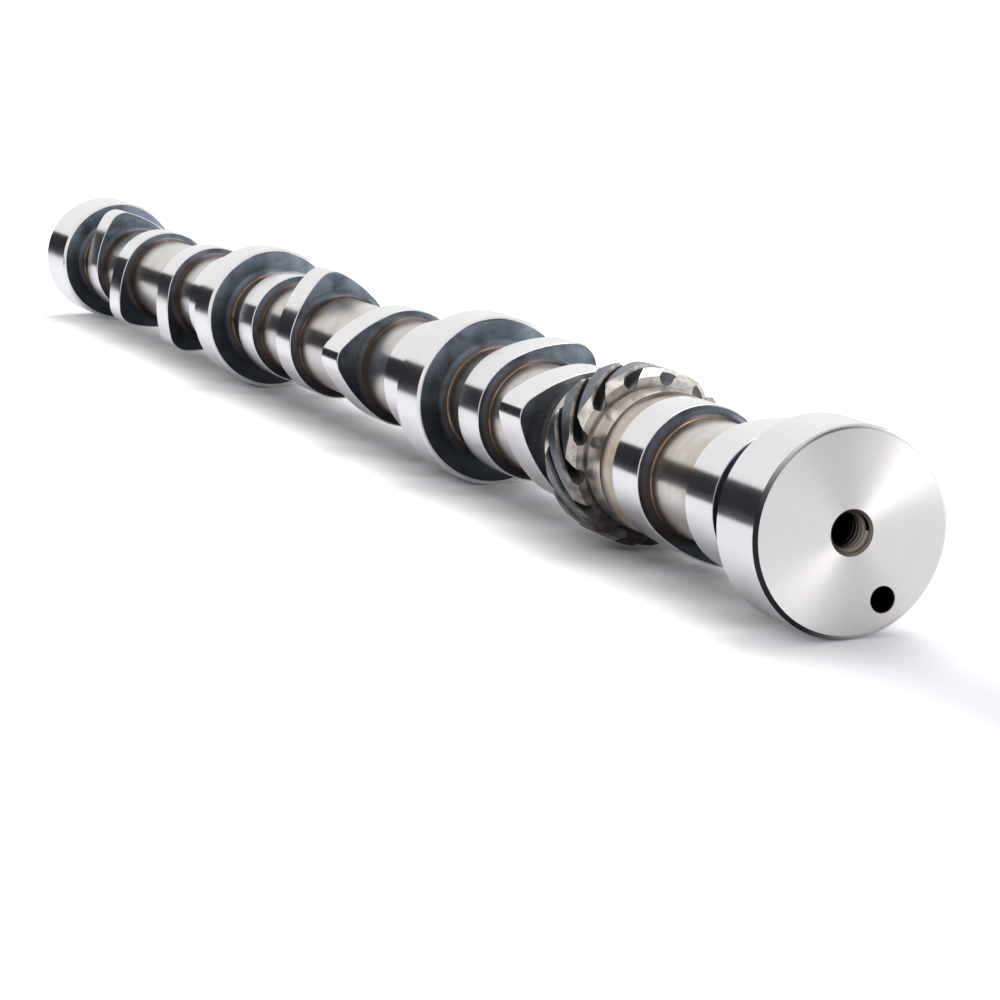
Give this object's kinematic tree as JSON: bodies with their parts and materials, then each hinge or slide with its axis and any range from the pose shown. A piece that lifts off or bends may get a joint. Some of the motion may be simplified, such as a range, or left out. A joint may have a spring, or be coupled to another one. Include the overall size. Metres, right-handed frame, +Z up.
{
  "type": "camshaft",
  "caption": "Camshaft with bearing journals, lobes and a skew drive gear in one piece, with a tapped hole and a dowel hole in its sprocket end.",
  "frame": {"origin": "on the shaft's axis, at the flat sprocket face", "axes": "+Y along the axis from the sprocket face to the rear journal, +Z up, +X to the right as seen from the sprocket face; the shaft lies on its journals as in the picture"},
  "size_m": [0.0516, 0.683, 0.0516],
  "materials": {
    "shaft_steel": "ground bearing and lobe surfaces, machined necks with faint heat tints"
  },
  "bodies": {
    "root": {"camshaft": "shaft_steel"}
  },
  "joints": []
}
